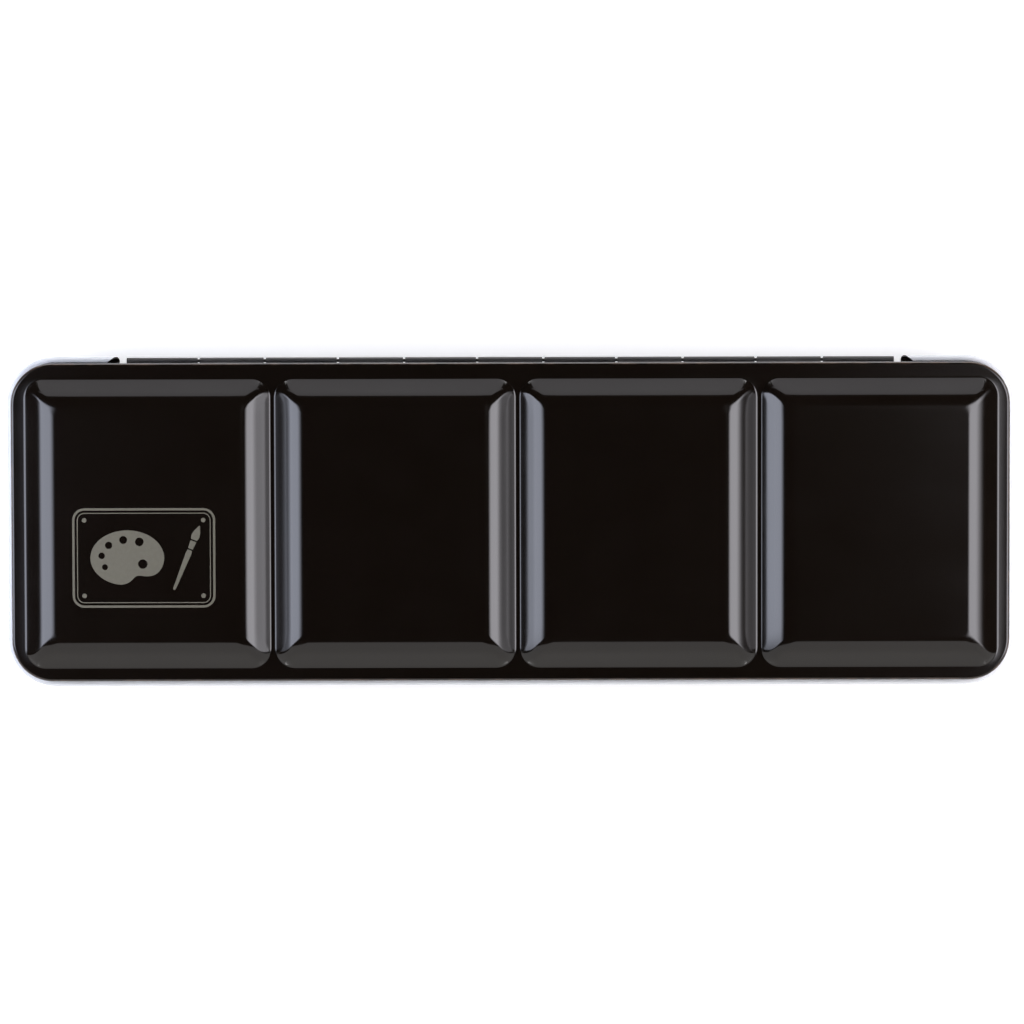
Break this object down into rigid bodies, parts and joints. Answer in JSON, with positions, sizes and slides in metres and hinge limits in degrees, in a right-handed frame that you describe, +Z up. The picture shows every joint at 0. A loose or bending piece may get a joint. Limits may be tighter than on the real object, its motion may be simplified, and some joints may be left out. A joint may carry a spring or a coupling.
{
  "type": "watercolour paint box",
  "caption": "Long shallow hinged tin with raised mixing wells in its lid, two rows of half pans inside and a folding thumb ring underneath.",
  "frame": {"origin": "on the table, under the middle of the closed box", "axes": "+X along the box, +Y towards the hinge, +Z up"},
  "size_m": [0.2202, 0.0722, 0.021],
  "materials": {
    "black_enamel": "satin stoving enamel, black",
    "white_enamel": "gloss stoving enamel, white",
    "blackened_wire": "blackened",
    "rail_steel": "tinned",
    "bright_steel": "nickel plated",
    "white_plastic": "moulded",
    "print_ink": "matt print",
    "cake_lemon_yellow": "cast watercolour",
    "cake_cadmium_yellow": "cast watercolour",
    "cake_indian_yellow": "cast watercolour",
    "cake_bright_orange": "cast watercolour",
    "cake_vermilion_red": "cast watercolour",
    "cake_carmine": "cast watercolour",
    "cake_rose_madder": "cast watercolour",
    "cake_magenta": "cast watercolour",
    "cake_violet": "cast watercolour",
    "cake_ultramarine": "cast watercolour",
    "cake_cobalt_blue": "cast watercolour",
    "cake_prussian_blue": "cast watercolour",
    "cake_titanium_white": "cast watercolour",
    "cake_naples_yellow": "cast watercolour",
    "cake_yellow_ochre": "cast watercolour",
    "cake_raw_sienna": "cast watercolour",
    "cake_burnt_sienna": "cast watercolour",
    "cake_burnt_umber": "cast watercolour",
    "cake_olive_green": "cast watercolour",
    "cake_sap_green": "cast watercolour",
    "cake_emerald_green": "cast watercolour",
    "cake_turquoise": "cast watercolour",
    "cake_neutral_grey": "cast watercolour",
    "cake_ivory_black": "cast watercolour"
  },
  "bodies": {
    "box": {"base": "black_enamel", "lid_hinge_pin": "blackened_wire", "pan_rail_back": "rail_steel", "pan_rail_front": "rail_steel", "thumb_ring_strap": "black_enamel", "strap_rivets": "bright_steel", "half_pan_01": "white_plastic", "half_pan_02": "white_plastic", "half_pan_03": "white_plastic", "half_pan_04": "white_plastic", "half_pan_05": "white_plastic", "half_pan_06": "white_plastic", "half_pan_07": "white_plastic", "half_pan_08": "white_plastic", "half_pan_09": "white_plastic", "half_pan_10": "white_plastic", "half_pan_11": "white_plastic", "half_pan_12": "white_plastic", "half_pan_13": "white_plastic", "half_pan_14": "white_plastic", "half_pan_15": "white_plastic", "half_pan_16": "white_plastic", "half_pan_17": "white_plastic", "half_pan_18": "white_plastic", "half_pan_19": "white_plastic", "half_pan_20": "white_plastic", "half_pan_21": "white_plastic", "half_pan_22": "white_plastic", "half_pan_23": "white_plastic", "half_pan_24": "white_plastic", "paint_lemon_yellow": "cake_lemon_yellow", "paint_cadmium_yellow": "cake_cadmium_yellow", "paint_indian_yellow": "cake_indian_yellow", "paint_bright_orange": "cake_bright_orange", "paint_vermilion_red": "cake_vermilion_red", "paint_carmine": "cake_carmine", "paint_rose_madder": "cake_rose_madder", "paint_magenta": "cake_magenta", "paint_violet": "cake_violet", "paint_ultramarine": "cake_ultramarine", "paint_cobalt_blue": "cake_cobalt_blue", "paint_prussian_blue": "cake_prussian_blue", "paint_titanium_white": "cake_titanium_white", "paint_naples_yellow": "cake_naples_yellow", "paint_yellow_ochre": "cake_yellow_ochre", "paint_raw_sienna": "cake_raw_sienna", "paint_burnt_sienna": "cake_burnt_sienna", "paint_burnt_umber": "cake_burnt_umber", "paint_olive_green": "cake_olive_green", "paint_sap_green": "cake_sap_green", "paint_emerald_green": "cake_emerald_green", "paint_turquoise": "cake_turquoise", "paint_neutral_grey": "cake_neutral_grey", "paint_ivory_black": "cake_ivory_black"},
    "cover": {"lid": "black_enamel"},
    "ring": {"thumb_ring": "bright_steel"}
  },
  "joints": [
    {"name": "lid_open", "type": "hinge", "parent": "box", "child": "cover", "pos_m": [0, 0.0352, 0.0106], "axis": [-1, 0, 0], "range_deg": [0, 180]},
    {"name": "thumb_ring_fold", "type": "hinge", "parent": "box", "child": "ring", "pos_m": [0, -0.00535, 0.0014], "axis": [-1, 0, 0], "range_deg": [0, 180]}
  ]
}
